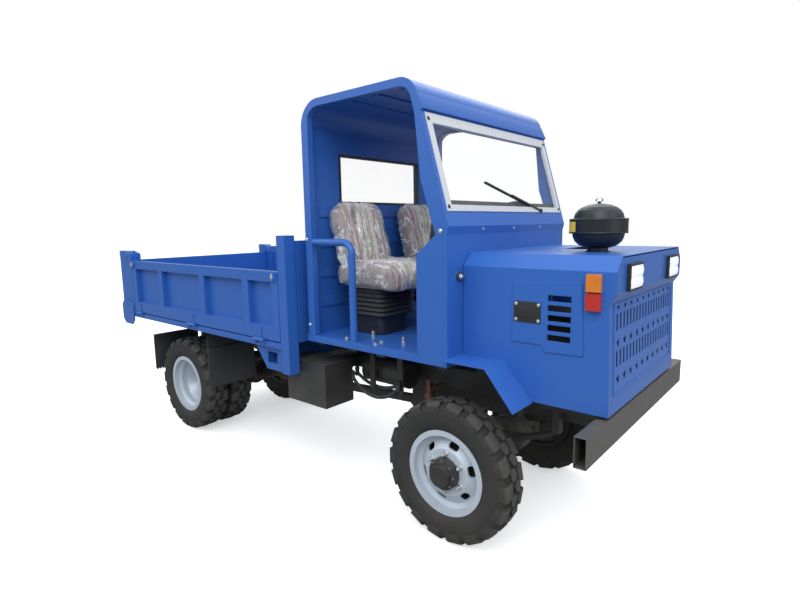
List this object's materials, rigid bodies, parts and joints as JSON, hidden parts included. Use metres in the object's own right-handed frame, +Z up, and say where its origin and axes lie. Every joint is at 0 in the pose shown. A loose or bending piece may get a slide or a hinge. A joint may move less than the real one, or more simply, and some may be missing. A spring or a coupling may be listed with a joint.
{
  "type": "site dumper",
  "caption": "Small four-wheel-drive site dumper with a bonneted open-sided cab, drop-side tipping bed, top-hung tailgate, steered front wheels and twin rear wheels.",
  "frame": {"origin": "on the ground, at the middle of the length and of the width", "axes": "+X forward, +Y to the vehicle's left, +Z up"},
  "size_m": [4.195, 1.55, 2.34],
  "materials": {
    "blue_paint": "gloss blue paint",
    "black_paint": "satin black paint",
    "bare_steel": "dark bare steel",
    "cast_metal": "cast metal painted black",
    "black_rubber": "matt black rubber",
    "black_plastic": "matt black plastic",
    "lamp_glass": "clear lamp lens",
    "amber_lens": "amber lamp lens",
    "red_lens": "red lamp lens",
    "clear_glass": "clear flat glass",
    "seat_fabric": "striped seat cloth under clear film",
    "tyre_rubber": "matt tyre rubber",
    "rim_silver": "silver paint",
    "rod_chrome": "polished rod"
  },
  "bodies": {
    "chassis": {"frame_rails": "black_paint", "frame_crossmembers": "black_paint", "front_bumper": "bare_steel", "engine_gearbox": "cast_metal", "propshafts": "cast_metal", "front_axle": "cast_metal", "rear_axle": "cast_metal", "leaf_springs": "cast_metal", "battery_box": "black_paint", "mudflaps": "black_rubber", "hydraulic_hoses": "black_rubber", "hood_shell": "blue_paint", "hood_front": "blue_paint", "headlamp_housings": "black_plastic", "headlamp_lenses": "lamp_glass", "indicator_lenses": "amber_lens", "marker_lenses": "red_lens", "air_cleaner": "black_paint", "front_fenders": "blue_paint", "cab_floor": "blue_paint", "cab_side_frames": "blue_paint", "cab_roof": "blue_paint", "cab_rear_wall": "blue_paint", "cab_cowl": "blue_paint", "windscreen_frame": "blue_paint", "cab_glass": "clear_glass", "window_gasket": "black_rubber", "grab_rails": "blue_paint", "seat_bases": "black_rubber", "seats": "seat_fabric", "dashboard": "black_plastic", "cab_controls": "black_paint", "wiper": "black_paint"},
    "steering_wheel": {"steering_wheel": "black_plastic"},
    "knuckle_left": {"knuckle_left": "cast_metal"},
    "knuckle_right": {"knuckle_right": "cast_metal"},
    "tie_rod": {"tie_rod": "cast_metal"},
    "wheel_front_left": {"tyre_front_left": "tyre_rubber", "rim_front_left": "rim_silver"},
    "wheel_front_right": {"tyre_front_right": "tyre_rubber", "rim_front_right": "rim_silver"},
    "wheels_rear_left": {"tyres_rear_left": "tyre_rubber", "rims_rear_left": "rim_silver"},
    "wheels_rear_right": {"tyres_rear_right": "tyre_rubber", "rims_rear_right": "rim_silver"},
    "bed": {"bed_subframe": "blue_paint", "bed_floor": "blue_paint", "bed_headboard": "blue_paint", "bed_rear_posts": "blue_paint"},
    "gate_left": {"gate_left": "blue_paint"},
    "gate_right": {"gate_right": "blue_paint"},
    "tailgate": {"tailgate": "blue_paint"},
    "lift_barrel": {"lift_barrel": "black_paint"},
    "lift_rod": {"lift_rod": "rod_chrome"}
  },
  "joints": [
    {"name": "steer_left", "type": "hinge", "parent": "chassis", "child": "knuckle_left", "pos_m": [1.2875, 0.42, 0.375], "axis": [0, 0, 1], "range_deg": [-32, 32]},
    {"name": "steer_right", "type": "hinge", "parent": "chassis", "child": "knuckle_right", "pos_m": [1.2875, -0.42, 0.375], "axis": [0, 0, 1], "range_deg": [-32, 32]},
    {"name": "tie_rod_pivot", "type": "hinge", "parent": "knuckle_left", "child": "tie_rod", "pos_m": [1.1375, 0.42, 0.295], "axis": [0, 0, 1], "range_deg": [-32, 32]},
    {"name": "steering_wheel_turn", "type": "hinge", "parent": "chassis", "child": "steering_wheel", "pos_m": [1.0375, 0.31, 1.65], "axis": [-0.5736, 0, 0.8192], "range_deg": [-320, 320]},
    {"name": "front_left_spin", "type": "hinge", "parent": "knuckle_left", "child": "wheel_front_left", "pos_m": [1.2875, 0.535, 0.375], "axis": [0, 1, 0], "continuous": true},
    {"name": "front_right_spin", "type": "hinge", "parent": "knuckle_right", "child": "wheel_front_right", "pos_m": [1.2875, -0.535, 0.375], "axis": [0, 1, 0], "continuous": true},
    {"name": "rear_left_spin", "type": "hinge", "parent": "chassis", "child": "wheels_rear_left", "pos_m": [-1.2725, 0.463, 0.375], "axis": [0, 1, 0], "continuous": true},
    {"name": "rear_right_spin", "type": "hinge", "parent": "chassis", "child": "wheels_rear_right", "pos_m": [-1.2725, -0.463, 0.375], "axis": [0, 1, 0], "continuous": true},
    {"name": "bed_tip", "type": "hinge", "parent": "chassis", "child": "bed", "pos_m": [-1.7625, 0, 0.768], "axis": [0, -1, 0], "range_deg": [0, 45]},
    {"name": "gate_left_drop", "type": "hinge", "parent": "bed", "child": "gate_left", "pos_m": [-0.8125, 0.764, 0.928], "axis": [-1, 0, 0], "range_deg": [0, 175]},
    {"name": "gate_right_drop", "type": "hinge", "parent": "bed", "child": "gate_right", "pos_m": [-0.8125, -0.764, 0.928], "axis": [1, 0, 0], "range_deg": [0, 175]},
    {"name": "tailgate_swing", "type": "hinge", "parent": "bed", "child": "tailgate", "pos_m": [-1.9775, 0, 1.424], "axis": [0, 1, 0], "range_deg": [0, 80]},
    {"name": "lift_barrel_turn", "type": "hinge", "parent": "chassis", "child": "lift_barrel", "pos_m": [-0.0625, 0, 0.6], "axis": [0, 1, 0], "range_deg": [0, 7.5]},
    {"name": "lift_rod_slide", "type": "slide", "parent": "lift_barrel", "child": "lift_rod", "axis": [-0.9899, 0, 0.1414], "range_m": [0, 0.14]}
  ],
  "couplings": [
    {"joint": "steer_right", "follows": "steer_left", "ratio": 1},
    {"joint": "tie_rod_pivot", "follows": "steer_left", "ratio": -1},
    {"joint": "steering_wheel_turn", "follows": "steer_left", "ratio": 10},
    {"joint": "lift_barrel_turn", "follows": "bed_tip", "ratio": 0.16206},
    {"joint": "lift_rod_slide", "follows": "bed_tip", "m_per_rad": 0.17223}
  ]
}
